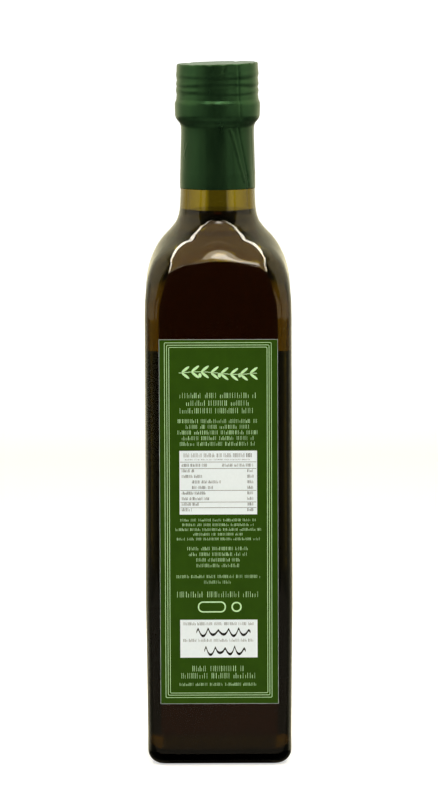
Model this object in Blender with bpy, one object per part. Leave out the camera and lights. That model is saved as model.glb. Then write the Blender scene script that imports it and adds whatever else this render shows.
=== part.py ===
"""Half-litre olive oil bottle: square dark green glass, full of oil, with a label and a shrink capsule.

Run with: blender --background --python part.py
Metres, +Z up. The origin is at the middle of the base, and the labelled face looks along -Y.
"""

import math

import bmesh
import bpy

# Heights above the surface that the bottle stands on
CAPSULE_TOP = 0.2763
CAPSULE_HEM = 0.2267
GLASS_MOUTH = 0.2690
OIL_LEVEL = 0.2182
LABEL_ENDS = (0.0249, 0.1693)
BACK_LABEL_ENDS = (0.0281, 0.1606)

# The glass, as half of its width from face to face at each height, heel to neck
GLASS_OUTLINE = (
    (0.0090, 0.02842),
    (0.0260, 0.02856),
    (0.0450, 0.02875),
    (0.0680, 0.02900),
    (0.1150, 0.02885),
    (0.1790, 0.02885),
    (0.1870, 0.02857),
    (0.1930, 0.02803),
    (0.1985, 0.02668),
    (0.2020, 0.02522),
    (0.2045, 0.02392),
    (0.2080, 0.02134),
    (0.2110, 0.01852),
    (0.2140, 0.01633),
    (0.2175, 0.01525),
    (0.2210, 0.01490),
    (0.2264, 0.01472),
)
# Radius of the body's rounded edges at each height, and how far its section has gone from square to round
CORNER_RADII = (
    (0.1780, 0.0071),
    (0.1900, 0.0088),
    (0.2000, 0.0098),
)
ROUNDNESS = (
    (0.1820, 0.0),
    (0.1900, 0.05),
    (0.1953, 0.13),
    (0.1990, 0.23),
    (0.2020, 0.42),
    (0.2050, 0.72),
    (0.2075, 0.94),
    (0.2095, 1.0),
)
HEEL_RADIUS = 0.0056
WALL = 0.0033

# Under the bottle: a flat bearing ring round a shallow domed hollow
PUSH_UP_RADIUS = 0.0195
PUSH_UP_HEIGHT = 0.0026
PUSH_UP_RING_RADII = (0.004, 0.010, 0.015)

# Inside the bottle
BASE_THICKNESS = 0.0058
INNER_HEEL_RADIUS = 0.0032
INNER_CENTRE_RADIUS = 0.012

# The neck under the capsule, and the finish that the closure sits on
NECK_RADIUS = 0.0137
NECK_TOP = 0.2490
FINISH_RADIUS = 0.0129
FINISH_BORE = 0.0104

# The capsule, shrunk over the closure, as its radius at each height
CAPSULE_OUTLINE = (
    (CAPSULE_HEM, 0.01488),
    (0.2290, 0.01490),
    (0.2350, 0.01475),
    (0.2420, 0.01456),
    (0.2485, 0.01440),
    (0.2508, 0.01446),
    (0.2521, 0.01478),
    (0.2532, 0.01560),
    (0.2543, 0.01638),
    (0.2556, 0.01673),
    (0.2600, 0.01685),
    (0.2606, 0.01670),
    (0.2613, 0.01626),
    (0.2640, 0.01618),
    (0.2665, 0.01622),
    (0.2685, 0.01616),
    (0.2708, 0.01624),
    (0.2733, 0.01612),
    (0.2753, 0.01602),
    (0.2759, 0.01588),
)
CAPSULE_RIM = 0.01560
CAPSULE_TOP_INNER_RADIUS = 0.0070
CAPSULE_SIDES = 48
CAPSULE_LEAN = 0.00035
SEAM_SIDE = 41
SEAM_HEIGHT = 0.00030

# Paper label
LABEL_WIDTH = 0.04645
LABEL_THICKNESS = 0.00030

# Between pieces that touch on the real bottle
GAP = 0.0003

# Turns, in degrees from a face's middle, of the points on an eighth of a square ring
EIGHTH_TURNS = (0.0, 12.0, 24.0, 33.0, 38.0, 41.5)
HEEL_STEPS = 5


def curve_at(stations, height):
    """Size at a height of a smooth curve through stations, level at and beyond both ends."""
    if height <= stations[0][0]:
        return stations[0][1]
    if height >= stations[-1][0]:
        return stations[-1][1]
    slopes = []
    for (low, size_low), (high, size_high) in zip(stations, stations[1:]):
        slopes.append((size_high - size_low) / (high - low))
    tangents = [0.0]
    for before, after in zip(slopes, slopes[1:]):
        turning = before * after <= 0.0
        tangents.append(0.0 if turning else 2.0 * before * after / (before + after))
    tangents.append(0.0)
    span = 0
    while height > stations[span + 1][0]:
        span += 1
    low, size_low = stations[span]
    high, size_high = stations[span + 1]
    run = high - low
    t = (height - low) / run
    return (
        size_low * (1 + 2 * t) * (1 - t) ** 2
        + tangents[span] * run * t * (1 - t) ** 2
        + size_high * t * t * (3 - 2 * t)
        + tangents[span + 1] * run * t * t * (t - 1)
    )


def glass_half(height):
    """Half of the outer width of the glass, from face to face."""
    return curve_at(GLASS_OUTLINE, height)


def glass_corner(height):
    """Outer radius of the rounded vertical edges."""
    return curve_at(CORNER_RADII, height)


def slanted_wall(height):
    """Wall thickness as measured level, which grows where the shoulder leans."""
    step = 0.0005
    lean = (glass_half(height + step) - glass_half(height - step)) / (2 * step)
    return WALL * math.hypot(1.0, lean)


def square_ring(half, corner, height):
    """Points round a square with rounded corners, at one height, drawn in to a circle up the shoulder."""
    turns = [math.radians(turn) for turn in EIGHTH_TURNS]
    quarter_turn = math.pi / 2
    mirrored = [quarter_turn - turn for turn in reversed(turns[1:])]
    quarter = turns + [math.pi / 4] + mirrored
    centre = half - corner
    roundness = curve_at(ROUNDNESS, height)
    points = []
    for quadrant in range(4):
        for turn in quarter:
            folded = min(turn, quarter_turn - turn)
            reach = half / math.cos(folded)
            if reach * math.sin(folded) > centre:
                along = centre * (math.cos(folded) + math.sin(folded))
                reach = along + math.sqrt(along**2 - 2 * centre**2 + corner**2)
            reach += roundness * (half - reach)
            angle = quadrant * quarter_turn + turn
            points.append((reach * math.cos(angle), reach * math.sin(angle), height))
    return points


def skin(rings):
    """A closed bmesh over rings of points: the first ring's edges, extruded on from ring to ring, capped."""
    mesh = bmesh.new()
    ring = [mesh.verts.new(point) for point in rings[0]]
    edges = [mesh.edges.new(pair) for pair in zip(ring, ring[1:] + ring[:1])]
    bmesh.ops.contextual_create(mesh, geom=edges)
    for points in rings[1:]:
        order = {tuple(corner.co): index for index, corner in enumerate(ring)}
        grown = bmesh.ops.extrude_edge_only(mesh, edges=edges)["geom"]
        ring = [part for part in grown if isinstance(part, bmesh.types.BMVert)]
        ring.sort(key=lambda corner: order[tuple(corner.co)])
        edges = [part for part in grown if isinstance(part, bmesh.types.BMEdge)]
        edges = [edge for edge in edges if all(corner in ring for corner in edge.verts)]
        for corner, point in zip(ring, points):
            corner.co = point
    bmesh.ops.contextual_create(mesh, geom=edges)
    return mesh


def finish(name, mesh, material):
    """One named object from a bmesh, with its faces pointing out and round stretches shaded smooth."""
    bmesh.ops.recalc_face_normals(mesh, faces=mesh.faces)
    data = bpy.data.meshes.new(name)
    mesh.to_mesh(data)
    mesh.free()
    data.shade_smooth()
    data.set_sharp_from_angle(angle=math.radians(35))
    data.materials.append(material)
    piece = bpy.data.objects.new(name, data)
    bpy.context.scene.collection.objects.link(piece)
    return piece


def plain_material(name, colour, roughness, transmission=0.0):
    """A Principled material from a colour, given as linear red, green and blue."""
    material = bpy.data.materials.new(name)
    material.use_nodes = True
    shader = material.node_tree.nodes["Principled BSDF"]
    shader.inputs["Base Color"].default_value = (*colour, 1.0)
    shader.inputs["Roughness"].default_value = roughness
    shader.inputs["Metallic"].default_value = 0.0
    shader.inputs["Transmission Weight"].default_value = transmission
    return material


def body_heights(bottom, top):
    """Ring heights from bottom to top: few on the flat faces, and closer up the shoulder and neck."""
    stations = [height for height, _ in GLASS_OUTLINE]
    halfway = [(low + high) / 2 for low, high in zip(stations, stations[1:]) if low >= 0.187]
    return sorted(height for height in stations + halfway if bottom < height < top)


def heel_rings(half, corner, radius, bottom):
    """Rings up a rounded lower edge, from the level underside to the wall."""
    rings = []
    for step in range(HEEL_STEPS + 1):
        turn = step / HEEL_STEPS * math.pi / 2
        inset = radius * (1.0 - math.sin(turn))
        height = bottom + radius * (1.0 - math.cos(turn))
        rings.append(square_ring(half - inset, corner - inset, height))
    return rings


def inner_rings(clearance, top):
    """Rings over the inside of the glass from its floor up to a height, drawn in by a clearance."""
    floor = BASE_THICKNESS + clearance
    wall_foot = floor + INNER_HEEL_RADIUS
    half = glass_half(wall_foot) - WALL - clearance
    corner = glass_corner(wall_foot) - WALL
    rings = [square_ring(INNER_CENTRE_RADIUS, INNER_CENTRE_RADIUS, floor)]
    rings += heel_rings(half, corner, INNER_HEEL_RADIUS, floor)
    for height in body_heights(wall_foot, top) + [top]:
        drawn_in = slanted_wall(height) + clearance
        rings.append(square_ring(glass_half(height) - drawn_in, glass_corner(height) - drawn_in, height))
    return rings


def round_ring(radius, height):
    """Points round a circle, at the same turns as a square ring's."""
    return square_ring(radius, radius, height)


def make_glass():
    """The bottle: one shell of dark green glass, open at the mouth."""
    rings = []
    for radius in PUSH_UP_RING_RADII:
        rise = PUSH_UP_HEIGHT * (1.0 - (radius / PUSH_UP_RADIUS) ** 2)
        rings.append(round_ring(radius, rise))
    rings.append(round_ring(PUSH_UP_RADIUS, 0.0))
    rings += heel_rings(glass_half(HEEL_RADIUS), glass_corner(HEEL_RADIUS), HEEL_RADIUS, 0.0)
    neck_shoulder = GLASS_OUTLINE[-1][0]
    for height in body_heights(HEEL_RADIUS, neck_shoulder) + [neck_shoulder]:
        rings.append(square_ring(glass_half(height), glass_corner(height), height))
    rings.append(round_ring(NECK_RADIUS, neck_shoulder))
    rings.append(round_ring(NECK_RADIUS, NECK_TOP))
    rings.append(round_ring(FINISH_RADIUS, NECK_TOP))
    rings.append(round_ring(FINISH_RADIUS, GLASS_MOUTH))
    rings.append(round_ring(FINISH_BORE, GLASS_MOUTH))
    rings.append(round_ring(FINISH_BORE, NECK_TOP))
    rings += reversed(inner_rings(0.0, neck_shoulder))
    material = plain_material("dark_green_glass", (0.045, 0.045, 0.010), 0.05, transmission=0.6)
    return finish("glass_bottle", skin(rings), material)


def make_oil():
    """The oil, as one solid from just above the glass floor up to its level in the neck."""
    rings = inner_rings(GAP, OIL_LEVEL)
    rings.append(round_ring(INNER_CENTRE_RADIUS / 2, OIL_LEVEL))
    material = plain_material("olive_oil", (0.22, 0.17, 0.02), 0.10, transmission=0.4)
    return finish("olive_oil", skin(rings), material)


def capsule_ring(radius, height, seam=0.0, lean=0.0):
    """Points round the capsule, with its seam raised and its top leaning up towards +X."""
    points = []
    for side in range(CAPSULE_SIDES):
        angle = side / CAPSULE_SIDES * 2 * math.pi
        reach = radius + (seam if side == SEAM_SIDE else 0.0)
        lift = lean * math.cos(angle) * radius / CAPSULE_RIM
        points.append((reach * math.cos(angle), reach * math.sin(angle), height + lift))
    return points


def make_capsule():
    """The shrink capsule with the screw closure and pourer that it hides, over the neck."""
    neck_bore = NECK_RADIUS + GAP
    finish_bore = FINISH_RADIUS + GAP
    roof = GLASS_MOUTH + GAP
    ledge = NECK_TOP + GAP
    rings = [
        capsule_ring(CAPSULE_TOP_INNER_RADIUS, roof),
        capsule_ring(finish_bore, roof),
        capsule_ring(finish_bore, ledge),
        capsule_ring(neck_bore, ledge),
        capsule_ring(neck_bore, CAPSULE_HEM),
    ]
    for height, radius in CAPSULE_OUTLINE:
        seam = 0.0 if height == CAPSULE_HEM else SEAM_HEIGHT
        lean = CAPSULE_LEAN if height > CAPSULE_OUTLINE[-3][0] else 0.0
        rings.append(capsule_ring(radius, height, seam, lean))
    rim_height = CAPSULE_TOP - CAPSULE_LEAN
    rings.append(capsule_ring(CAPSULE_RIM, rim_height, SEAM_HEIGHT, CAPSULE_LEAN))
    rings.append(capsule_ring(CAPSULE_TOP_INNER_RADIUS, rim_height, 0.0, CAPSULE_LEAN))
    material = plain_material("green_capsule", (0.022, 0.060, 0.022), 0.30)
    return finish("capsule", skin(rings), material)


def make_label(name, facing, ends):
    """A paper label lying along the slight swell of a face: the front one's at -1, the back one's at 1."""
    mesh = bmesh.new()
    bottom, top = ends
    heights = [bottom]
    heights += [height for height, _ in GLASS_OUTLINE if bottom < height < top]
    heights.append(top)
    inner = []
    for height in heights:
        depth = facing * (glass_half(height) + GAP)
        for side in (-LABEL_WIDTH / 2, LABEL_WIDTH / 2):
            inner.append(mesh.verts.new((side, depth, height)))
    for row in range(len(heights) - 1):
        low = 2 * row
        mesh.faces.new((inner[low], inner[low + 1], inner[low + 3], inner[low + 2]))
    outer = bmesh.ops.extrude_face_region(mesh, geom=mesh.faces[:], use_keep_orig=True)
    moved = [part for part in outer["geom"] if isinstance(part, bmesh.types.BMVert)]
    bmesh.ops.translate(mesh, verts=moved, vec=(0.0, facing * LABEL_THICKNESS, 0.0))
    return finish(name, mesh, plain_material(f"{name}_paper", (0.030, 0.070, 0.008), 0.45))


for leftover in list(bpy.data.objects):
    bpy.data.objects.remove(leftover, do_unlink=True)
make_glass()
make_oil()
make_capsule()
make_label("label", -1, LABEL_ENDS)
make_label("back_label", 1, BACK_LABEL_ENDS)
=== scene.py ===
"""Looks of a half-litre olive oil bottle: dark green glass, oil, two paper labels and a shrink capsule."""

import math
import random

import bmesh
import bpy
from mathutils import Matrix, Vector, noise


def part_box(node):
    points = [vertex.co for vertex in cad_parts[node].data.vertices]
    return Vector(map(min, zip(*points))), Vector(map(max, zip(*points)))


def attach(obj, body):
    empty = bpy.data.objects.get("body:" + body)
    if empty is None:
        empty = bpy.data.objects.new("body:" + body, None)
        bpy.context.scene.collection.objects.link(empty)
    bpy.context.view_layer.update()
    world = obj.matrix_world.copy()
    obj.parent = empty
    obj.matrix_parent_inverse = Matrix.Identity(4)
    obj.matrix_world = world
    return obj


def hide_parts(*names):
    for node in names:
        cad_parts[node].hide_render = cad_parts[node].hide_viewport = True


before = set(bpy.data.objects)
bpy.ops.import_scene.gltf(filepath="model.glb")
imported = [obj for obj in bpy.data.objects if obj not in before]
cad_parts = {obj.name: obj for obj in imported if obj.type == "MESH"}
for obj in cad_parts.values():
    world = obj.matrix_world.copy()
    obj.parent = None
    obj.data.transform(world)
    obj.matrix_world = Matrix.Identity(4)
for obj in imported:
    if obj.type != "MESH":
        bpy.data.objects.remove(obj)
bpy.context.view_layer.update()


# Camera: a long lens a little above the bottle, looking down on it, with the picture turned a hair.
CAMERA_TILT = math.radians(6.6)
CAMERA_DISTANCE = 1.8
CAMERA_AIM = Vector((0.0002, 0.0, 0.14215))
CAMERA_ROLL = math.radians(-0.22)
CAMERA_LENS = 203.7
SENSOR_WIDTH = 36.0
FARTHEST_SEEN = 50.0

lens = bpy.data.cameras.new("camera")
lens.lens = CAMERA_LENS
lens.sensor_width = SENSOR_WIDTH
lens.clip_end = FARTHEST_SEEN
camera = bpy.data.objects.new("camera", lens)
bpy.context.scene.collection.objects.link(camera)
camera_back = Vector((0.0, -math.cos(CAMERA_TILT), math.sin(CAMERA_TILT)))
camera.location = CAMERA_AIM + CAMERA_DISTANCE * camera_back
aim_turn = camera_back.to_track_quat("Z", "Y").to_matrix().to_4x4()
camera.rotation_euler = (aim_turn @ Matrix.Rotation(CAMERA_ROLL, 4, "Z")).to_euler()
bpy.context.scene.camera = camera
bpy.context.scene.view_settings.view_transform = "Standard"


# Bottle: one shell of dark olive-green glass, blown in a mould. Its square body has rounded edges, each
# face ends in an arch under the shoulder's dome, and the base is pushed up inside a flat bearing ring.
def linear(code):
    """Linear red, green and blue, with full alpha, of an sRGB hex colour."""
    channels = [int(code[start : start + 2], 16) / 255 for start in (1, 3, 5)]
    straight = [c / 12.92 if c <= 0.04045 else ((c + 0.055) / 1.055) ** 2.4 for c in channels]
    return (*straight, 1.0)


def add_node(tree, kind, settings=None, **links):
    """A shader node with its settings and inputs. An input is a value, or the socket that feeds it."""
    node = tree.nodes.new(kind)
    for name, value in (settings or {}).items():
        setattr(node, name, value)
    for name, value in links.items():
        socket = node.inputs[int(name[1:])] if name[0] == "i" and name[1:].isdigit() else node.inputs[name]
        if isinstance(value, bpy.types.NodeSocket):
            tree.links.new(value, socket)
        else:
            socket.default_value = value
    return node


def new_material(name):
    """A material with its node tree, its Principled shader and its output."""
    material = bpy.data.materials.new(name)
    material.use_nodes = True
    nodes = material.node_tree.nodes
    return material, material.node_tree, nodes["Principled BSDF"], nodes["Material Output"]


def place(name, mesh, material):
    """A piece from a bmesh, merged, facing outwards and shaded smooth, riding on the bottle."""
    bmesh.ops.remove_doubles(mesh, verts=mesh.verts, dist=1e-7)
    bmesh.ops.recalc_face_normals(mesh, faces=mesh.faces)
    data = bpy.data.meshes.new(name)
    mesh.to_mesh(data)
    mesh.free()
    data.shade_smooth()
    data.materials.append(material)
    piece = bpy.data.objects.new(name, data)
    bpy.context.scene.collection.objects.link(piece)
    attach(piece, "root")
    return piece


# Half of the width from face to face, by height
GLASS_OUTLINE = (
    (0.0090, 0.02842),
    (0.0260, 0.02856),
    (0.0450, 0.02875),
    (0.0680, 0.02900),
    (0.1150, 0.02885),
    (0.1790, 0.02885),
    (0.1870, 0.02857),
    (0.1930, 0.02803),
    (0.1985, 0.02668),
    (0.2020, 0.02522),
    (0.2045, 0.02392),
    (0.2080, 0.02134),
    (0.2110, 0.01852),
    (0.2140, 0.01633),
    (0.2175, 0.01525),
    (0.2210, 0.01490),
    (0.2264, 0.01472),
)
SHOULDER_BOTTOM = 0.1830
# Radius of the vertical edges by height, and how far each section has turned from square to round
CORNER_RADII = ((0.1780, 0.0071), (0.1900, 0.0088), (0.2000, 0.0098))
ROUNDNESS = (
    (0.1820, 0.0),
    (0.1900, 0.05),
    (0.1953, 0.13),
    (0.1990, 0.23),
    (0.2020, 0.42),
    (0.2050, 0.72),
    (0.2075, 0.94),
    (0.2095, 1.0),
)
HEEL_RADIUS = 0.0056
WALL = 0.0033
PUSH_UP_RADIUS = 0.0195
PUSH_UP_HEIGHT = 0.0026
PUSH_UP_MIDDLE = 0.002
FLOOR_THICKNESS = 0.0058
INNER_HEEL_RADIUS = 0.0032
INNER_FLOOR_RADIUS = 0.012
NECK_UNDER_FILM = 0.0141
DRAWN_IN_OVER = 0.006
FINISH_RADIUS = 0.0129
BORE_RADIUS = 0.0104
NECK_SHOULDER = GLASS_OUTLINE[-1][0]
NECK_TOP = 0.2490
MOUTH = 0.2690
RING_STEPS = 192
CORNER_CROWDING = 1.5


def curve_at(stations, height):
    """Size at a height of a smooth curve through stations, level at and beyond both ends."""
    if height <= stations[0][0]:
        return stations[0][1]
    if height >= stations[-1][0]:
        return stations[-1][1]
    slopes = []
    for (low, size_low), (high, size_high) in zip(stations, stations[1:]):
        slopes.append((size_high - size_low) / (high - low))
    tangents = [0.0]
    for before, after in zip(slopes, slopes[1:]):
        turning = before * after <= 0.0
        tangents.append(0.0 if turning else 2.0 * before * after / (before + after))
    tangents.append(0.0)
    span = 0
    while height > stations[span + 1][0]:
        span += 1
    low, size_low = stations[span]
    high, size_high = stations[span + 1]
    run = high - low
    t = (height - low) / run
    return (
        size_low * (1 + 2 * t) * (1 - t) ** 2
        + tangents[span] * run * t * (1 - t) ** 2
        + size_high * t * t * (3 - 2 * t)
        + tangents[span + 1] * run * t * t * (t - 1)
    )


def glass_half(height):
    """Half of the outer width of the glass, from face to face."""
    return curve_at(GLASS_OUTLINE, height)


def glass_corner(height):
    """Outer radius of the rounded vertical edges."""
    return curve_at(CORNER_RADII, height)


def slanted_wall(height):
    """Wall thickness as measured level, which grows where the shoulder leans."""
    step = 0.0005
    lean = (glass_half(height + step) - glass_half(height - step)) / (2 * step)
    return WALL * math.hypot(1.0, lean)


def steps(start, end, count):
    """Values from start to just before end, evenly spaced."""
    return [start + (end - start) * step / count for step in range(count)]


def body_heights(bottom, top):
    """Profile heights: sparse on the flat faces, and close together up the shoulder and neck."""
    heights = steps(bottom, SHOULDER_BOTTOM, 30) if bottom < SHOULDER_BOTTOM else []
    return heights + steps(SHOULDER_BOTTOM, top, 64) + [top]


def heel_points(half, corner, radius, bottom, count=10):
    """Profile points up a rounded lower edge, from the level underside to the wall."""
    points = []
    for turn in steps(0.0, math.pi / 2, count):
        inset = radius * (1.0 - math.sin(turn))
        points.append((half - inset, bottom + radius * (1.0 - math.cos(turn)), corner - inset))
    return points


def bore_points(top, clearance=0.0):
    """Profile points over the inside of the glass, from the middle of its floor up to a height."""
    floor = FLOOR_THICKNESS + clearance
    wall_foot = floor + INNER_HEEL_RADIUS
    half = glass_half(wall_foot) - WALL - clearance
    corner = glass_corner(wall_foot) - WALL
    points = [(0.0, floor, 0.0)]
    points += [(INNER_FLOOR_RADIUS * share, floor, INNER_FLOOR_RADIUS * share) for share in (0.5, 1.0)]
    points += heel_points(half, corner, INNER_HEEL_RADIUS, floor)
    for height in body_heights(wall_foot, top):
        drawn_in = slanted_wall(height) + clearance
        points.append((glass_half(height) - drawn_in, height, glass_corner(height) - drawn_in))
    return points


def spun(profile, ring_steps=RING_STEPS, crowding=CORNER_CROWDING):
    """A profile of (radius, height, corner radius), spun round the axis and then squared to its corners."""
    mesh = bmesh.new()
    corner_layer = mesh.verts.layers.float.new("corner")
    chain = []
    for radius, height, corner in profile:
        vert = mesh.verts.new((radius, 0.0, height))
        vert[corner_layer] = corner
        chain.append(vert)
    edges = [mesh.edges.new(pair) for pair in zip(chain, chain[1:])]
    bmesh.ops.spin(
        mesh,
        geom=chain + edges,
        axis=(0, 0, 1),
        cent=(0, 0, 0),
        steps=ring_steps,
        angle=2 * math.pi,
        use_merge=True,
    )
    bmesh.ops.remove_doubles(mesh, verts=mesh.verts, dist=1e-7)
    for vert in mesh.verts:
        half = math.hypot(vert.co.x, vert.co.y)
        if half < 1e-6:
            continue
        turn = math.atan2(vert.co.y, vert.co.x)
        eighth = turn / (math.pi / 4)
        nearest_face = 2 * round(eighth / 2)
        away = abs(eighth - nearest_face)
        crowded = 1.0 - (1.0 - min(away, 1.0)) ** crowding
        folded = crowded * math.pi / 4
        turn = (nearest_face + math.copysign(crowded, eighth - nearest_face)) * math.pi / 4
        corner = min(vert[corner_layer], half)
        centre = half - corner
        reach = half / math.cos(folded)
        if reach * math.sin(folded) > centre:
            along = centre * (math.cos(folded) + math.sin(folded))
            reach = along + math.sqrt(max(along**2 - 2 * centre**2 + corner**2, 0.0))
        reach += curve_at(ROUNDNESS, vert.co.z) * (half - reach)
        vert.co.x = reach * math.cos(turn)
        vert.co.y = reach * math.sin(turn)
    return mesh


# Dark olive-green container glass, blown: the body of the colour is in the glass, so thin and slanting
# stretches look yellow-green and thick ones brown-black. Its skin is fire-polished, with slow waves of 16 mm
# and finger haze in spots of 6 mm, which keep its reflections from looking ruled.
GLASS_COLOUR = linear("#D8D000")
GLASS_DENSITY = 716.0
HAZE_SPOT = 0.006
SKIN_WAVE = 0.016
SKIN_DEPTH = 0.00006

glass, tree, shader, output = new_material("blown_dark_olive_glass")
shader.inputs["Base Color"].default_value = linear("#FFFFFF")
shader.inputs["IOR"].default_value = 1.52
shader.inputs["Transmission Weight"].default_value = 1.0
body_colour = add_node(tree, "ShaderNodeVolumeAbsorption", Color=GLASS_COLOUR, Density=GLASS_DENSITY)
tree.links.new(body_colour.outputs["Volume"], output.inputs["Volume"])
spot = add_node(tree, "ShaderNodeTexCoord").outputs["Object"]
handling = add_node(tree, "ShaderNodeTexNoise", Vector=spot, Scale=1 / HAZE_SPOT, Detail=3.0)
haze = add_node(tree, "ShaderNodeMapRange", i0=handling.outputs["Fac"], i1=0.35, i2=0.75, i3=0.015, i4=0.035)
tree.links.new(haze.outputs["Result"], shader.inputs["Roughness"])
waves = add_node(tree, "ShaderNodeTexNoise", Vector=spot, Scale=1 / SKIN_WAVE, Detail=1.0)
skin = add_node(tree, "ShaderNodeBump", Height=waves.outputs["Fac"], Distance=SKIN_DEPTH, Strength=1.0)
tree.links.new(skin.outputs["Normal"], shader.inputs["Normal"])

profile = [(0.0, PUSH_UP_HEIGHT, 0.0)]
for radius in steps(PUSH_UP_MIDDLE, PUSH_UP_RADIUS, 10) + [PUSH_UP_RADIUS]:
    profile.append((radius, PUSH_UP_HEIGHT * (1.0 - (radius / PUSH_UP_RADIUS) ** 2), radius))
profile += heel_points(glass_half(HEEL_RADIUS), glass_corner(HEEL_RADIUS), HEEL_RADIUS, 0.0)
for height in body_heights(HEEL_RADIUS, NECK_SHOULDER):
    profile.append((glass_half(height), height, glass_corner(height)))
hidden_neck = [
    (NECK_UNDER_FILM, NECK_SHOULDER + DRAWN_IN_OVER),
    (NECK_UNDER_FILM, NECK_TOP),
    (FINISH_RADIUS, NECK_TOP),
    (FINISH_RADIUS, MOUTH),
    (BORE_RADIUS, MOUTH),
    (BORE_RADIUS, NECK_TOP),
]
profile += [(radius, height, radius) for radius, height in hidden_neck]
profile += reversed(bore_points(NECK_SHOULDER))
bottle = place("bottle_glass", spun(profile), glass)
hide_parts("glass_bottle")


# Oil: half a litre of golden-green olive oil up to its level in the neck. It wets the glass, so the
# piece reaches a hair into the wall and leaves no air between.
OIL_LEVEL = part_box("olive_oil")[1].z
OIL_INTO_WALL = 0.00006
MENISCUS_RISE = 0.00015
MENISCUS_FOOT = 0.82

# Filtered olive oil: clear, with a golden green that deepens with thickness and a breath of haze, in clouds
# of 9 mm. Its own shine is held down, because real oil touches the glass with no air between.
OIL_COLOUR = linear("#E8E000")
OIL_DENSITY = 147.6
OIL_CLOUD = 0.009

oil, tree, shader, output = new_material("filtered_olive_oil")
shader.inputs["Base Color"].default_value = linear("#FFFFFF")
shader.inputs["IOR"].default_value = 1.47
shader.inputs["Specular IOR Level"].default_value = 0.1
shader.inputs["Transmission Weight"].default_value = 1.0
body_colour = add_node(tree, "ShaderNodeVolumeAbsorption", Color=OIL_COLOUR, Density=OIL_DENSITY)
tree.links.new(body_colour.outputs["Volume"], output.inputs["Volume"])
spot = add_node(tree, "ShaderNodeTexCoord").outputs["Object"]
haze = add_node(tree, "ShaderNodeTexNoise", Vector=spot, Scale=1 / OIL_CLOUD, Detail=2.0)
cloud = add_node(tree, "ShaderNodeMapRange", i0=haze.outputs["Fac"], i1=0.3, i2=0.7, i3=0.04, i4=0.06)
tree.links.new(cloud.outputs["Result"], shader.inputs["Roughness"])

profile = bore_points(OIL_LEVEL + MENISCUS_RISE, -OIL_INTO_WALL)
rim = profile[-1][0]
for share in (0.97, 0.93, 0.88, MENISCUS_FOOT, 0.6, 0.3, 0.0):
    radius = rim * share
    rise = MENISCUS_RISE * max(0.0, (share - MENISCUS_FOOT) / (1.0 - MENISCUS_FOOT)) ** 2
    profile.append((radius, OIL_LEVEL + rise, radius))
olive_oil = place("olive_oil_fill", spun(profile), oil)
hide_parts("olive_oil")


# Capsule: dark green shrink film with a metallic lacquer, heat-shrunk over the screw closure and the
# neck. It shows the closure's rings through, and has a seam, a long crease below it, and a flat top disc
# with the film puckered over its edge.
CAPSULE_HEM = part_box("capsule")[0].z
CAPSULE_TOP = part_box("capsule")[1].z
FILM_TOP = 0.2759
# Outer radius of the film by height
CAPSULE_OUTLINE = (
    (CAPSULE_HEM, 0.01488),
    (0.2290, 0.01490),
    (0.2350, 0.01475),
    (0.2420, 0.01456),
    (0.2485, 0.01440),
    (0.2508, 0.01446),
    (0.2521, 0.01478),
    (0.2532, 0.01560),
    (0.2543, 0.01638),
    (0.2556, 0.01673),
    (0.2598, 0.01685),
    (0.2604, 0.01676),
    (0.2611, 0.01650),
    (0.2619, 0.01624),
    (0.2640, 0.01618),
    (0.2665, 0.01622),
    (0.2685, 0.01616),
    (0.2708, 0.01624),
    (0.2733, 0.01612),
    (0.2753, 0.01602),
    (FILM_TOP, 0.01588),
)
CAPSULE_RIM = 0.01560
TOP_DISC = 0.0146
DISC_SINK = 0.00012
SMOOTH_DISC = 0.0143
CAPSULE_STEPS = 320
CAPSULE_RINGS = 150
LINING_RINGS = 40
TOP_LEAN = 0.00035
LEAN_FROM = 0.2680
FILM = 0.00014

# Height, depth and half-width of each soft ring, and how it wanders: by how much and how often
SOFT_RINGS = (
    (0.2715, 0.00012, 0.0009, 0.0004, 2),
    (0.2699, -0.00022, 0.0008, 0.0004, 3),
    (0.2682, 0.00022, 0.0007, 0.0005, 2),
    (0.2668, -0.00026, 0.0008, 0.0004, 3),
    (0.2650, 0.00018, 0.0007, 0.0005, 2),
    (0.2636, -0.00014, 0.0007, 0.0003, 4),
    (0.2325, 0.00006, 0.0010, 0.0003, 1),
)
# Degrees to the right of the front by height, and the seam's own sizes
SEAM_LINE = ((CAPSULE_HEM, 53.0), (0.2490, 36.0), (0.2532, 33.0), (CAPSULE_TOP, 31.0))
SEAM_WANDER = 0.0004
SEAM_DEPTH = 0.00020
SEAM_HALF_WIDTH = 0.00042
LAP_HEIGHT = 0.00018
LAP_EDGE = 0.0004
LAP_WIDTH = 0.004
# Start and end of each crease, in degrees and height, with its depth and half-width
CREASES = (
    ((21.0, 0.2500), (45.0, 0.2300), 0.00022, 0.00055),
    ((25.0, 0.2490), (34.0, 0.2400), 0.00012, 0.00040),
    ((-64.0, 0.2400), (-54.0, 0.2450), 0.00008, 0.00050),
    ((-60.0, 0.2385), (-66.0, 0.2445), 0.00006, 0.00040),
    ((74.0, 0.2290), (70.0, 0.2500), 0.00009, 0.00070),
    ((-8.0, 0.2725), (-3.0, 0.2765), -0.00012, 0.00070),
    ((8.0, 0.2730), (13.0, 0.2765), -0.00012, 0.00060),
    ((140.0, 0.2500), (118.0, 0.2310), 0.00010, 0.00060),
    ((-150.0, 0.2480), (-160.0, 0.2360), 0.00008, 0.00050),
)
# Degrees to the right of the front of each pucker, with the depth, spread in degrees and place of them all
PUCKERS = (-39.0, -12.0, 9.0, 31.0, 62.0, 104.0, 151.0, -96.0, -133.0)
PUCKERED_FROM = 0.2750
PUCKER_DEPTH = 0.00022
PUCKER_SPREAD = 4.0
PUCKER_RADIUS = 0.0158
PUCKER_REACH = 0.0008
UNEVENNESS = 0.00005
DEEPEST_RELIEF = 0.00045
HEM_GRIP = 0.003


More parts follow.
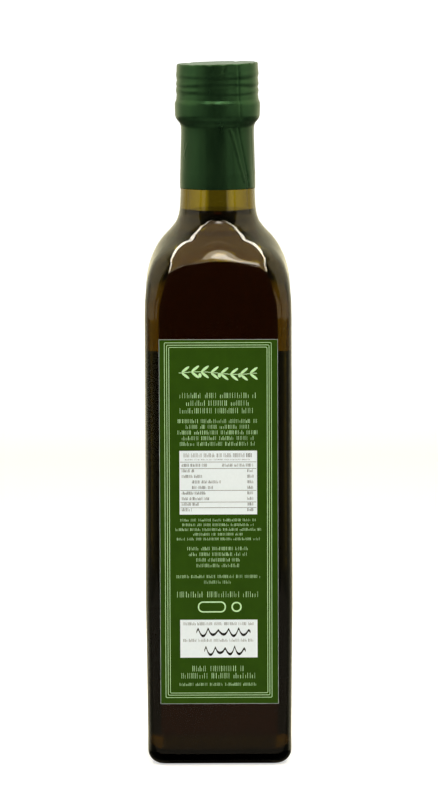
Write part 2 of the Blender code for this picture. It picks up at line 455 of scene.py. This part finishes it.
def hump(distance, half_width):
    """A smooth hump, one at its middle."""
    return math.exp(-((distance / half_width) ** 2))


def film_relief(turn, height, radius):
    """How far the film stands off its smooth outline, by degrees to the right of the front and height."""
    relief = 0.0
    for level, depth, half_width, wander, waves in SOFT_RINGS:
        middle = level + wander * math.sin(math.radians(waves * turn) + 9000 * level)
        strength = 0.7 + 0.3 * math.sin(math.radians(turn) + 4000 * level)
        relief += depth * strength * hump(height - middle, half_width)
    past_seam = math.radians(turn - curve_at(SEAM_LINE, height)) * radius
    past_seam += SEAM_WANDER * noise.noise(Vector((0.0, height * 420, 8.0)))
    seam_grip = 0.6 + 0.7 * noise.noise(Vector((5.0, height * 260, 2.0)))
    relief -= SEAM_DEPTH * max(seam_grip, 0.15) * hump(past_seam, SEAM_HALF_WIDTH)
    if past_seam > 0.0:
        relief += LAP_HEIGHT * (1.0 - math.exp(-past_seam / LAP_EDGE)) * hump(past_seam, LAP_WIDTH)
    for (start_turn, start), (end_turn, end), depth, half_width in CREASES:
        along = Vector((math.radians(end_turn - start_turn) * radius, end - start))
        here = Vector((math.radians(turn - start_turn) * radius, height - start))
        share = here.dot(along) / along.length_squared
        away = (here - along * min(max(share, 0.0), 1.0)).length
        relief += depth * hump(away, half_width) - 0.4 * depth * hump(away, 3 * half_width)
    relief += UNEVENNESS * noise.noise(Vector((math.radians(turn) * 2.5, height * 160, 3.0)))
    clear_of_glass = min((height - CAPSULE_HEM) / HEM_GRIP, 1.0)
    return max(relief, -DEEPEST_RELIEF) * clear_of_glass


# Shrink film: a PVC sleeve lacquered dark green over a metallic base, so its shine is green too and soft.
# Over the closure its colour is painted up to a third brighter, a painted sheen, and it has lengthwise
# drawing marks about 3.5 mm wide.
DRAWING_MARK = 0.0035
DRAWN_OUT = 0.22
RIPPLE_DEPTH = 0.00008
SHEEN_PAINTED_FROM = 0.2500
SHEEN_PAINTED_FULLY = 0.2545
PAINTED_SHEEN_GAIN = 1.32

film, tree, shader, _ = new_material("lacquered_shrink_film")
shader.inputs["Metallic"].default_value = 0.85
spot = add_node(tree, "ShaderNodeTexCoord").outputs["Object"]
drawn = add_node(tree, "ShaderNodeMapping", Vector=spot, Scale=(1.0, 1.0, DRAWN_OUT))
cloud = add_node(
    tree, "ShaderNodeTexNoise", Vector=drawn.outputs["Vector"], Scale=1 / DRAWING_MARK, Detail=4.0
)
lacquer = add_node(tree, "ShaderNodeValToRGB", Fac=cloud.outputs["Fac"])
lacquer.color_ramp.elements[0].position = 0.30
lacquer.color_ramp.elements[0].color = linear("#2A4B30")
lacquer.color_ramp.elements[1].position = 0.70
lacquer.color_ramp.elements[1].color = linear("#305234")
level = add_node(tree, "ShaderNodeSeparateXYZ", Vector=spot).outputs["Z"]
# Painted sheen: the lacquer colour is made up to 1.32 times as bright from 250 mm up, over the closure
painted_sheen = add_node(
    tree, "ShaderNodeMapRange", i0=level, i1=SHEEN_PAINTED_FROM, i2=SHEEN_PAINTED_FULLY, i3=1.0, i4=PAINTED_SHEEN_GAIN
)
lacquer_with_painted_sheen = add_node(
    tree,
    "ShaderNodeVectorMath",
    {"operation": "SCALE"},
    i0=lacquer.outputs["Color"],
    Scale=painted_sheen.outputs["Result"],
)
tree.links.new(lacquer_with_painted_sheen.outputs["Vector"], shader.inputs["Base Color"])
dulling = add_node(tree, "ShaderNodeMapRange", i0=cloud.outputs["Fac"], i1=0.3, i2=0.7, i3=0.27, i4=0.38)
tree.links.new(dulling.outputs["Result"], shader.inputs["Roughness"])
ripple = add_node(tree, "ShaderNodeBump", Height=cloud.outputs["Fac"], Distance=RIPPLE_DEPTH, Strength=0.25)
tree.links.new(ripple.outputs["Normal"], shader.inputs["Normal"])

plain_top = CAPSULE_TOP - TOP_LEAN
profile = [(0.0, plain_top - FILM, 0.0)]
for height in reversed(steps(CAPSULE_HEM, FILM_TOP, LINING_RINGS)):
    radius = curve_at(CAPSULE_OUTLINE, height) - FILM
    profile.append((radius, height, radius))
for height in steps(CAPSULE_HEM, FILM_TOP, CAPSULE_RINGS) + [FILM_TOP]:
    radius = curve_at(CAPSULE_OUTLINE, height)
    profile.append((radius, height, radius))
# Over the rim and down a hair to the disc, as radius and drop
RIM_POINTS = ((0.01578, 0.0001), (CAPSULE_RIM, 0.0), (0.0152, 0.00002), (0.0149, 0.00015), (TOP_DISC, 0.0001))
for radius, drop in RIM_POINTS:
    profile.append((radius, plain_top - drop, radius))
profile += [(TOP_DISC * share, plain_top - DISC_SINK, TOP_DISC * share) for share in (0.8, 0.5, 0.2, 0.0)]
mesh = spun(profile, CAPSULE_STEPS, crowding=1.0)
for vert in mesh.verts:
    radius = math.hypot(vert.co.x, vert.co.y)
    if radius < 1e-6:
        continue
    turn = math.degrees(math.atan2(vert.co.x, -vert.co.y))
    height = vert.co.z
    if radius > SMOOTH_DISC:
        pull = 1.0 + film_relief(turn, height, radius) / radius
        vert.co.x *= pull
        vert.co.y *= pull
    lean = min(max((height - LEAN_FROM) / (FILM_TOP - LEAN_FROM), 0.0), 1.0)
    vert.co.z += TOP_LEAN * lean * vert.co.x / CAPSULE_RIM
    if height > PUCKERED_FROM and radius > SMOOTH_DISC:
        for middle in PUCKERS:
            off = (turn - middle + 180) % 360 - 180
            pinch = hump(off, PUCKER_SPREAD) * hump(radius - PUCKER_RADIUS, PUCKER_REACH)
            vert.co.z -= PUCKER_DEPTH * pinch
capsule = place("shrink_capsule", mesh, film)
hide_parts("capsule")


# Labels: white coated paper printed green, varnished and wet-glued to the front and back faces. The cut
# edge shows the white stock, and the pale green print stands as words, rules and fields with no text.
# The sheets and what is printed on them are in millimetres. The labels' boxes go by the side they face.
LABEL_BOXES = {-1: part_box("label"), 1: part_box("back_label")}
MM = 0.001
PAPER = 0.10
GROUND = 0.012
INK = 0.012
BARE_EDGE = 0.08
GLUE_GAP = 0.02
STRIP_HEIGHT = 6
PEN_WIDTH = 1.05
TICK_WIDTHS = (0.11, 0.14, 0.20)
# Air between one sheet of print and the next
HAIR = 0.001
random.seed(7)


def fresh_sheet():
    """An empty sheet. Its shapes lie flat, in millimetres across from the middle and down from the top."""
    return bmesh.new()


def bar(sheet, across, drop, width, height):
    """A rectangle by its middle, across and down from the label's top edge."""
    grown = bmesh.ops.create_grid(sheet, x_segments=1, y_segments=1, size=0.5)["verts"]
    bmesh.ops.scale(sheet, verts=grown, vec=(width, height, 1.0))
    bmesh.ops.translate(sheet, verts=grown, vec=(across, -drop, 0.0))


def oval(sheet, across, drop, width, height, tilt=0.0, sides=20):
    """An oval by its middle, turned by some degrees."""
    grown = bmesh.ops.create_circle(sheet, cap_ends=True, segments=sides, radius=0.5)["verts"]
    bmesh.ops.scale(sheet, verts=grown, vec=(width, height, 1.0))
    turned = Matrix.Rotation(math.radians(tilt), 3, "Z")
    bmesh.ops.rotate(sheet, verts=grown, cent=(0, 0, 0), matrix=turned)
    bmesh.ops.translate(sheet, verts=grown, vec=(across, -drop, 0.0))


def outline(sheet, left, top, width, height, line, corner):
    """A rounded rectangle's outline, by its upper left corner."""
    grown = bmesh.ops.create_grid(sheet, x_segments=1, y_segments=1, size=0.5)["verts"]
    bmesh.ops.scale(sheet, verts=grown, vec=(width, height, 1.0))
    bmesh.ops.translate(sheet, verts=grown, vec=(left + width / 2, -top - height / 2, 0.0))
    rounded = bmesh.ops.bevel(
        sheet, geom=grown, offset=corner, affect="VERTICES", segments=6, profile=0.5, material=-1
    )
    faces = {face for vert in rounded["verts"] for face in vert.link_faces}
    bmesh.ops.inset_region(sheet, faces=list(faces), thickness=line, use_even_offset=True, use_boundary=True)
    bmesh.ops.delete(sheet, geom=list(faces), context="FACES_ONLY")


def words(sheet, across, drop, width, height, pitch=0.80):
    """A row of words, each a run of upright ticks with no letter in it, filling a width about its middle."""
    left = across - width / 2
    spot = 0.0
    ticks = random.randint(6, 16)
    while spot < width - 0.3:
        if ticks == 0:
            spot += 0.7 * pitch
            ticks = random.randint(4, 16)
            continue
        thickness = random.choice(TICK_WIDTHS) * min(1.0, 0.4 + 0.35 * height)
        tall = height * random.choice((1.0, 1.0, 1.0, 0.62))
        bar(sheet, left + spot + thickness / 2, drop + (height - tall) / 2, thickness, tall)
        spot += pitch * random.choice((0.42, 0.5, 0.62))
        ticks -= 1


LEAF_LENGTH = 1.25
LEAF_TILT = 38


def sprig(sheet, across, drop, width, size):
    """An olive sprig lying across: a thin stem with paired leaves and a few fruits."""
    count = int(width / (LEAF_LENGTH * size))
    for step in range(count * 2):
        share = (step + 0.5) / (count * 2)
        wave = 0.18 * size * math.sin(share * 2 * math.pi)
        bar(sheet, across - width / 2 + share * width, drop - wave, width / (count * 2) + 0.05, 0.09 * size)
    for step in range(count):
        share = (step + 0.6) / count
        middle = across - width / 2 + share * width
        wave = 0.18 * size * math.sin(share * 2 * math.pi)
        for side in (-1, 1):
            beside = drop - wave - side * 0.42 * size
            oval(sheet, middle + 0.1 * size, beside, LEAF_LENGTH * size, 0.34 * size, LEAF_TILT * side)
    for share in (0.27, 0.52, 0.78):
        middle = across - width / 2 + share * width
        oval(sheet, middle, drop + 0.30 * size, 0.42 * size, 0.58 * size)


def pen_line(sheet, across, drop, width, height, loops):
    """A plain wavy line of pen, drawn as a narrow ribbon."""
    count = 90
    grown = bmesh.ops.create_grid(sheet, x_segments=count, y_segments=1, size=0.5)["verts"]
    for vert in grown:
        share = vert.co.x + 0.5
        swing = math.sin(share * loops * 2 * math.pi) * (0.75 + 0.25 * math.sin(share * 11))
        slant = 0.35 * math.cos(share * loops * 2 * math.pi)
        vert.co.x = across + (share - 0.5) * width + slant
        vert.co.y = -drop + swing * height / 2 + vert.co.y * PEN_WIDTH


def lay(name, sheet, facing, lift, thickness, material):
    """Cuts a flat sheet into level strips, gives it its thickness and lays it on a face of the glass."""
    low, high = LABEL_BOXES[facing]
    for level in range(0, int((high.z - low.z) / MM), STRIP_HEIGHT):
        everything = sheet.verts[:] + sheet.edges[:] + sheet.faces[:]
        bmesh.ops.bisect_plane(sheet, geom=everything, plane_co=(0, -level, 0), plane_no=(0, 1, 0))
    raised = bmesh.ops.extrude_face_region(sheet, geom=sheet.faces[:], use_keep_orig=True)
    moved = [part for part in raised["geom"] if isinstance(part, bmesh.types.BMVert)]
    bmesh.ops.translate(sheet, verts=moved, vec=(0.0, 0.0, thickness))
    for vert in sheet.verts:
        across, down, out = vert.co * MM
        height = high.z + down
        vert.co = (-facing * across, facing * (glass_half(height) + out + lift * MM), height)
    piece = place(name, sheet, material)
    piece.data.set_sharp_from_angle(angle=math.radians(40))
    return piece


# Coated label stock: bright white wood-free paper, calendered, with a trace of fibre in its tone.
PAPER_FIBRE = 0.0012

stock, tree, shader, _ = new_material("white_coated_paper")
shader.inputs["Roughness"].default_value = 0.50
spot = add_node(tree, "ShaderNodeTexCoord").outputs["Object"]
fibre = add_node(tree, "ShaderNodeTexNoise", Vector=spot, Scale=1 / PAPER_FIBRE, Detail=3.0)
white = add_node(tree, "ShaderNodeValToRGB", Fac=fibre.outputs["Fac"])
white.color_ramp.elements[0].color = linear("#DAE8F2")
white.color_ramp.elements[1].color = linear("#E3F0FA")
tree.links.new(white.outputs["Color"], shader.inputs["Base Color"])

# Offset print under varnish: a solid of dark leaf green that mottles a little over several millimetres.
GROUND_MOTTLE = 0.006
GROUND_GRAIN = 0.0007
GRAIN_DEPTH = 0.00002

ground_ink, tree, shader, _ = new_material("green_offset_print")
shader.inputs["Roughness"].default_value = 0.42
shader.inputs["Specular IOR Level"].default_value = 0.08
spot = add_node(tree, "ShaderNodeTexCoord").outputs["Object"]
mottle = add_node(tree, "ShaderNodeTexNoise", Vector=spot, Scale=1 / GROUND_MOTTLE, Detail=5.0, Roughness=0.6)
green = add_node(tree, "ShaderNodeValToRGB", Fac=mottle.outputs["Fac"])
green.color_ramp.elements[0].position = 0.25
green.color_ramp.elements[0].color = linear("#264404")
green.color_ramp.elements[1].position = 0.75
green.color_ramp.elements[1].color = linear("#2B4B04")
tree.links.new(green.outputs["Color"], shader.inputs["Base Color"])
grain = add_node(tree, "ShaderNodeTexNoise", Vector=spot, Scale=1 / GROUND_GRAIN, Detail=2.0)
tooth = add_node(tree, "ShaderNodeBump", Height=grain.outputs["Fac"], Distance=GRAIN_DEPTH, Strength=0.4)
tree.links.new(tooth.outputs["Normal"], shader.inputs["Normal"])

PRINT_SPOT = 0.0009


def print_ink(name, dark, light):
    """Print of one colour on the label, a little uneven where the stock takes it less."""
    ink, tree, shader, _ = new_material(name)
    shader.inputs["Roughness"].default_value = 0.45
    shader.inputs["Specular IOR Level"].default_value = 0.08
    spot = add_node(tree, "ShaderNodeTexCoord").outputs["Object"]
    cover = add_node(tree, "ShaderNodeTexNoise", Vector=spot, Scale=1 / PRINT_SPOT, Detail=2.0)
    shade = add_node(tree, "ShaderNodeValToRGB", Fac=cover.outputs["Fac"])
    shade.color_ramp.elements[0].position = 0.3
    shade.color_ramp.elements[0].color = linear(dark)
    shade.color_ramp.elements[1].position = 0.7
    shade.color_ramp.elements[1].color = linear(light)
    tree.links.new(shade.outputs["Color"], shader.inputs["Base Color"])
    return ink


pale_ink = print_ink("pale_green_print", "#B0DCA4", "#C4ECBA")
dark_ink = print_ink("dark_grey_print", "#10140C", "#20261A")
pen_ink = print_ink("black_pen_ink", "#121214", "#26262A")

# How far each of the border's three lines lies inside the label's edges
BORDER_LEFT = (2.0, 2.9, 3.75)
BORDER_RIGHT = (2.45, 3.3, 4.1)
BORDER_TOP = (1.15, 2.1, 2.95)
BORDER_BOTTOM = (2.45, 3.4, 4.25)
BORDER_LINE = 0.20
BORDER_CORNER = 0.55


def label_base(name, facing):
    """The paper with its printed ground, bare along the cut edge, and the pale print with its border."""
    width, _, height = (LABEL_BOXES[facing][1] - LABEL_BOXES[facing][0]) / MM
    paper = fresh_sheet()
    bar(paper, 0.0, height / 2, width, height)
    piece = lay(f"{name}_paper", paper, facing, GLUE_GAP, PAPER, stock)
    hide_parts(name)
    ground = fresh_sheet()
    bar(ground, 0.0, height / 2, width - 2 * BARE_EDGE, height - 2 * BARE_EDGE)
    lay(f"{name}_ground", ground, facing, GLUE_GAP + PAPER + HAIR, GROUND, ground_ink)
    pale = fresh_sheet()
    for left, right, top, bottom in zip(BORDER_LEFT, BORDER_RIGHT, BORDER_TOP, BORDER_BOTTOM):
        inner_width = width - left - right
        inner_height = height - top - bottom
        outline(pale, left - width / 2, top, inner_width, inner_height, BORDER_LINE, BORDER_CORNER)
    return pale


PRINT_LIFT = GLUE_GAP + PAPER + GROUND + 2 * HAIR
PRINT_MIDDLE = -0.2

pale = label_base("label", -1)
sprig(pale, PRINT_MIDDLE, 13.2, 30.5, 3.0)
# Blocks of words: where the first row's middle is, the step between rows, letter height and row widths
WORD_BLOCKS = (
    (22.0, 3.00, 2.1, (29.9, 24.8, 29.9)),
    (32.1, 2.24, 1.55, (31.5, 25.2, 31.8, 28.3, 29.9)),
    (71.2, 1.88, 1.05, (29.9, 28.3, 33.8, 19.7, 32.6)),
    (82.5, 2.24, 1.35, (24.4, 23.2, 17.3, 17.3)),
    (93.6, 2.20, 1.25, (33.0, 11.4)),
    (100.7, 2.20, 2.3, (32.6,)),
    (130.3, 2.85, 2.2, (20.8, 29.5)),
    (136.6, 2.20, 1.2, (31.0,)),
)
for first, step, letter, widths in WORD_BLOCKS:
    for row, row_width in enumerate(widths):
        words(pale, PRINT_MIDDLE, first + row * step, row_width, letter, pitch=0.62 * letter + 0.25)
outline(pale, PRINT_MIDDLE - 8.2, 103.5, 11.0, 4.4, 0.5, 2.0)
outline(pale, PRINT_MIDDLE + 5.0, 103.7, 4.0, 4.0, 0.55, 1.9)
lay("label_print", pale, -1, PRINT_LIFT, INK, pale_ink)

PANEL_WIDTH = 30.4
panels = fresh_sheet()
bar(panels, PRINT_MIDDLE, 56.4, PANEL_WIDTH, 25.2)
bar(panels, PRINT_MIDDLE, 118.35, PANEL_WIDTH, 15.1)
lay("label_panels", panels, -1, PRINT_LIFT, INK, stock)

PANEL_LIFT = PRINT_LIFT + INK + 2 * HAIR
panel_left = PRINT_MIDDLE - PANEL_WIDTH / 2
dark = fresh_sheet()
words(dark, PRINT_MIDDLE, 45.6, 27.1, 1.6, pitch=0.85)
words(dark, PRINT_MIDDLE, 47.3, 26.0, 0.5, pitch=0.55)
TABLE_RULES = (48.25, 50.85, 59.5, 64.1, 66.3)
RULE_LINE = 0.16
for drop in TABLE_RULES:
    bar(dark, PRINT_MIDDLE, drop, PANEL_WIDTH - 0.6, RULE_LINE)
# Indent and width of the words that start each row
TABLE_ROWS = (
    (0.9, 10.5),
    (0.9, 5.2),
    (0.9, 8.2),
    (4.9, 11.5),
    (4.9, 8.4),
    (0.9, 9.6),
    (0.9, 11.0),
    (0.9, 7.0),
    (0.9, 4.0),
)
TABLE_TOP = 49.5
TABLE_STEP = 2.2
TABLE_LETTER = 1.2
TABLE_PITCH = 0.62
for row, (indent, row_width) in enumerate(TABLE_ROWS):
    drop = TABLE_TOP + row * TABLE_STEP
    words(dark, panel_left + indent + row_width / 2, drop, row_width, TABLE_LETTER, pitch=TABLE_PITCH)
    value = 12.5 if row == 0 else 2.6
    value_middle = PRINT_MIDDLE + PANEL_WIDTH / 2 - 1.2 - value / 2
    words(dark, value_middle, drop, value, TABLE_LETTER, pitch=TABLE_PITCH)
words(dark, PRINT_MIDDLE, 112.4, 28.0, 1.2, pitch=0.85)
words(dark, PRINT_MIDDLE, 119.0, 28.0, 1.2, pitch=0.85)
lay("label_panel_print", dark, -1, PANEL_LIFT, INK, dark_ink)
pen = fresh_sheet()
pen_line(pen, PRINT_MIDDLE + 1.8, 115.8, 22.0, 3.0, 5.5)
pen_line(pen, PRINT_MIDDLE + 2.4, 123.2, 17.0, 3.2, 4.5)
lay("label_pen", pen, -1, PANEL_LIFT, INK, pen_ink)

pale = label_base("back_label", 1)
sprig(pale, 0.0, 40.0, 28.0, 3.4)
for radius in (9.0, 10.2):
    outline(pale, -radius, 62.0 - radius, 2 * radius, 2 * radius, 0.35, 0.98 * radius)
sprig(pale, 0.0, 62.0, 15.0, 2.8)
outline(pale, -14.5, 84.0, 29.0, 12.0, 0.35, 1.2)
for row, row_width in enumerate((24.0, 18.0)):
    words(pale, 0.0, 88.0 + 4.0 * row, row_width, 2.0, pitch=1.4)
for row, row_width in enumerate((30.0, 26.0, 30.0, 20.0)):
    words(pale, 0.0, 103.0 + 2.6 * row, row_width, 1.4, pitch=1.1)
outline(pale, -6.0, 117.0, 12.0, 5.0, 0.5, 2.3)
lay("back_label_print", pale, 1, PRINT_LIFT, INK, pale_ink)


# Studio: a pale floor under a white tent that is dark on the camera's side. Overhead hangs a broad warm
# panel with a bright gap along each side and a round lamp near its front. The cards and flags round the
# bottle stand where the glass, the oil and the film show them in the photo.
def glow_material(name, code, strength):
    """A plain glowing material for a studio card."""
    material = bpy.data.materials.new(name)
    material.use_nodes = True
    tree = material.node_tree
    tree.nodes.clear()
    glow = add_node(tree, "ShaderNodeEmission", Color=linear(code), Strength=strength)
    add_node(tree, "ShaderNodeOutputMaterial", Surface=glow.outputs["Emission"])
    return material


def staged(name, mesh, material, unseen_by):
    """A studio object from a bmesh, left out of some kinds of ray."""
    data = bpy.data.meshes.new(name)
    mesh.to_mesh(data)
    mesh.free()
    data.materials.append(material)
    thing = bpy.data.objects.new(name, data)
    bpy.context.scene.collection.objects.link(thing)
    for ray in unseen_by:
        setattr(thing, f"visible_{ray}", False)
    return thing


def studio_card(name, low, high, material, unseen_by=(), round_card=False):
    """A flat card between two corners, one of whose three sizes is nothing. The camera doesn't see it."""
    mesh = bmesh.new()
    if round_card:
        bmesh.ops.create_circle(mesh, cap_ends=True, segments=48, radius=0.5)
    else:
        bmesh.ops.create_grid(mesh, x_segments=1, y_segments=1, size=0.5)
    size = Vector(high) - Vector(low)
    if size.z > 0.0:
        upright = Matrix.Rotation(math.pi / 2, 4, "X" if size.x > 0.0 else "Y")
        bmesh.ops.transform(mesh, matrix=upright, verts=mesh.verts)
    bmesh.ops.scale(mesh, verts=mesh.verts, vec=[side if side > 0.0 else 1.0 for side in size])
    bmesh.ops.translate(mesh, verts=mesh.verts, vec=(Vector(low) + Vector(high)) / 2)
    return staged(name, mesh, material, ("camera", *unseen_by))


CEILING = 1.21
PANEL_HALF = 0.55
PANEL_FRONT = -1.22
PANEL_BACK = 0.60
PANEL_NARROWING = 0.78
ceiling_glow = glow_material("warm_ceiling_panel", "#C6A880", 2.4)
panel_low = (-PANEL_HALF, PANEL_FRONT, CEILING)
panel = studio_card("ceiling_panel", panel_low, (PANEL_HALF, PANEL_BACK, CEILING), ceiling_glow)
for vert in panel.data.vertices:
    if vert.co.y > 0.0:
        vert.co.x *= PANEL_NARROWING

# The gaps come closer together towards the far end, as the panel does
GAP_INNER = 0.56
GAP_OUTER = 0.63
GAP_FRONT = -1.12
GAP_BACK = 0.90
GAP_DRIFT = 0.13
gap_glow = glow_material("ceiling_gap", "#FFF9E8", 16.0)
for side in (-1, 1):
    left, right = sorted((side * GAP_INNER, side * GAP_OUTER))
    gap = studio_card(f"ceiling_gap_{side}", (left, GAP_FRONT, CEILING), (right, GAP_BACK, CEILING), gap_glow)
    for vert in gap.data.vertices:
        if vert.co.y > 0.0:
            vert.co.x -= side * GAP_DRIFT
FRONT_GAP = 0.04
front_glow = glow_material("ceiling_front_gap", "#FFF3DC", 5.0)
front_low = (-PANEL_HALF, PANEL_FRONT - FRONT_GAP, CEILING)
studio_card("ceiling_front_gap", front_low, (PANEL_HALF, PANEL_FRONT, CEILING), front_glow)

# The lamp hangs lowest, and its halo and the panel's seam between it and the panel
LAMP_LEVEL = CEILING - 0.02
HALO_LEVEL = CEILING - 0.01
lamp_glow = glow_material("lamp_glow", "#FFF6EA", 14.0)
studio_card("lamp", (-0.10, -1.10, LAMP_LEVEL), (0.28, -0.94, LAMP_LEVEL), lamp_glow, round_card=True)
halo_glow = glow_material("lamp_halo", "#FFF0DC", 5.5)
studio_card("lamp_halo", (-0.18, -1.10, HALO_LEVEL), (0.28, -0.74, HALO_LEVEL), halo_glow, round_card=True)
seam_glow = glow_material("ceiling_seam", "#C6A880", 3.6)
studio_card("ceiling_seam", (-0.34, -0.36, HALO_LEVEL), (0.34, -0.32, HALO_LEVEL), seam_glow)

# Flags that only the light through the glass meets: one straight behind the bottle, one all round below it
FLAG_UNSEEN_BY = ("diffuse", "glossy", "shadow")
brown_shade = glow_material("brown_flag", "#A0603C", 0.5)
studio_card("far_flag", (-0.062, 1.0, -0.30), (0.062, 1.0, 0.088), brown_shade, FLAG_UNSEEN_BY)
LOW_FLAG_RADIUS = 1.05
LOW_FLAG_FOOT = -0.60
LOW_FLAG_HEIGHT = 0.525
mesh = bmesh.new()
ring = bmesh.ops.create_circle(mesh, segments=96, radius=LOW_FLAG_RADIUS)["verts"]
bmesh.ops.translate(mesh, verts=ring, vec=(0.0, 0.0, LOW_FLAG_FOOT))
wall = bmesh.ops.extrude_edge_only(mesh, edges=mesh.edges[:])["geom"]
raised = [part for part in wall if isinstance(part, bmesh.types.BMVert)]
bmesh.ops.translate(mesh, verts=raised, vec=(0.0, 0.0, LOW_FLAG_HEIGHT))
low_shade = glow_material("low_flag_shade", "#8A7050", 0.06)
staged("low_flag", mesh, low_shade, ("camera", *FLAG_UNSEEN_BY))

# Cards that show only as reflections on the glass and the film
SHEEN_UNSEEN_BY = ("diffuse", "transmission", "shadow")
sheet_glow = glow_material("front_paper_glow", "#FFF2D2", 0.22)
studio_card("front_paper_sheen", (-0.40, -0.40, 0.001), (0.40, -0.035, 0.001), sheet_glow, SHEEN_UNSEEN_BY)
LOW_CARD_FOOT = 0.125
LOW_CARD_TOP = 0.40
LOW_CARDS = (
    ((-0.90, -0.60), (-0.90, 0.30)),
    ((0.90, -0.60), (0.90, 0.30)),
    ((0.40, -0.80), (0.95, -0.80)),
    ((-0.95, -0.80), (-0.62, -0.80)),
)
low_glow = glow_material("low_card_glow", "#FFF2D6", 0.75)
for number, (low, high) in enumerate(LOW_CARDS):
    studio_card(f"low_card_{number}", (*low, LOW_CARD_FOOT), (*high, LOW_CARD_TOP), low_glow, SHEEN_UNSEEN_BY)
back_glow = glow_material("back_card_glow", "#EAF6E0", 1.3)
studio_card("back_card", (-0.25, 1.0, 0.33), (0.25, 1.0, 0.55), back_glow, SHEEN_UNSEEN_BY)

# Softboxes left and right of the bottle, which light it as well
SOFTBOX_SIDE = 0.90
softbox_glow = glow_material("softbox_glow", "#FFF0CB", 1.0)
for side in (-1, 1):
    out = side * SOFTBOX_SIDE
    studio_card(f"softbox_{side}", (out, -0.55, 0.38), (out, 0.90, 1.50), softbox_glow)


# Floor: matt white paper with a glow of its own, which changes with the distance behind the bottle: it is
# dimmed to half from
# 0.6 to 0.9 m behind, a painted shade like a sweep's bend, and brightens beyond so the paper fades into the
# white of the backdrop.
FLOOR_RADIUS = 14.0
FLOOR_REACH = 1.5
# Glow by share of the reach, whose dip in the middle is painted shade
FLOOR_GLOW_AND_PAINTED_SHADE = ((0.0, 0.60), (0.22, 0.60), (0.40, 0.30), (0.62, 0.30), (0.85, 0.60), (1.0, 0.85))

floor_material, tree, shader, _ = new_material("pale_studio_floor")
shader.inputs["Base Color"].default_value = linear("#E8E8E8")
shader.inputs["Roughness"].default_value = 0.9
shader.inputs["Emission Color"].default_value = linear("#F8FCFF")
spot = add_node(tree, "ShaderNodeTexCoord").outputs["Object"]
behind = add_node(tree, "ShaderNodeSeparateXYZ", Vector=spot).outputs["Y"]
reach = add_node(tree, "ShaderNodeMapRange", i0=behind, i1=0.0, i2=FLOOR_REACH)
# The floor's glow by distance behind the bottle, with its band of painted shade
glow = add_node(tree, "ShaderNodeValToRGB", Fac=reach.outputs["Result"])
while len(glow.color_ramp.elements) < len(FLOOR_GLOW_AND_PAINTED_SHADE):
    glow.color_ramp.elements.new(0.5)
for element, (share, brightness) in zip(glow.color_ramp.elements, FLOOR_GLOW_AND_PAINTED_SHADE):
    element.position = share
    element.color = (brightness, brightness, brightness, 1.0)
tree.links.new(glow.outputs["Color"], shader.inputs["Emission Strength"])
mesh = bmesh.new()
bmesh.ops.create_circle(mesh, cap_ends=True, segments=96, radius=FLOOR_RADIUS)
staged("floor", mesh, floor_material, ("glossy", "transmission"))


# Tent: white cloth, bright behind the bottle but for a slot straight behind it, dark round the camera and
# fading below the horizon. The camera sees it plain white, and reflections see it a little warmer.
TENT_WARMTH = (1.0, 0.965, 0.84)
CAMERA_WHITE = (1.05, 1.05, 1.05, 1.0)
UNCHANGED = (1.0, 1.0, 1.0, 1.0)
REFLECTED_WARMTH = (1.0, 0.96, 0.74, 1.0)
# Where the fade below the horizon ends and starts, as the sine of the slope, and what is left at its end
FADED_AT = -0.30
FADES_FROM = -0.14
FADED = 0.08
# Brightness by degrees to the right of the camera
TENT = (
    (-180, 0.28),
    (-176.5, 0.28),
    (-175.5, 1.2),
    (-135, 1.1),
    (-105, 0.20),
    (-30, 0.05),
    (0, 0.02),
    (30, 0.05),
    (105, 0.20),
    (135, 1.1),
    (175.5, 1.2),
    (176.5, 0.28),
    (180, 0.28),
)
world = bpy.data.worlds.new("white_tent")
world.use_nodes = True
bpy.context.scene.world = world
tree = world.node_tree
tree.nodes.clear()
direction = add_node(tree, "ShaderNodeTexCoord")
parts = add_node(tree, "ShaderNodeSeparateXYZ", Vector=direction.outputs["Generated"])
frontward = add_node(tree, "ShaderNodeMath", {"operation": "MULTIPLY"}, i0=parts.outputs["Y"], i1=-1.0)
azimuth = add_node(
    tree, "ShaderNodeMath", {"operation": "ARCTAN2"}, i0=parts.outputs["X"], i1=frontward.outputs[0]
)
turn = add_node(tree, "ShaderNodeMapRange", i0=azimuth.outputs[0], i1=-math.pi, i2=math.pi)
ramp = add_node(tree, "ShaderNodeValToRGB", Fac=turn.outputs["Result"])
elements = ramp.color_ramp.elements
while len(elements) < len(TENT):
    elements.new(0.5)
for element, (degrees, brightness) in zip(elements, TENT):
    element.position = (degrees + 180) / 360
    element.color = (*(brightness * channel for channel in TENT_WARMTH), 1.0)
downward = add_node(
    tree,
    "ShaderNodeMapRange",
    {"interpolation_type": "SMOOTHSTEP"},
    i0=parts.outputs["Z"],
    i1=FADED_AT,
    i2=FADES_FROM,
    i3=FADED,
    i4=1.0,
)
tent = add_node(
    tree,
    "ShaderNodeVectorMath",
    {"operation": "SCALE"},
    i0=ramp.outputs["Color"],
    Scale=downward.outputs["Result"],
)
path = add_node(tree, "ShaderNodeLightPath")
seen = add_node(
    tree,
    "ShaderNodeMix",
    {"data_type": "RGBA"},
    i0=path.outputs["Is Camera Ray"],
    i6=tent.outputs["Vector"],
    i7=CAMERA_WHITE,
)
warmth = add_node(
    tree,
    "ShaderNodeMix",
    {"data_type": "RGBA"},
    i0=path.outputs["Is Glossy Ray"],
    i6=UNCHANGED,
    i7=REFLECTED_WARMTH,
)
warmed = add_node(
    tree, "ShaderNodeVectorMath", {"operation": "MULTIPLY"}, i0=seen.outputs[2], i1=warmth.outputs[2]
)
sky = add_node(tree, "ShaderNodeBackground", Color=warmed.outputs["Vector"], Strength=1.0)
add_node(tree, "ShaderNodeOutputWorld", Surface=sky.outputs["Background"])
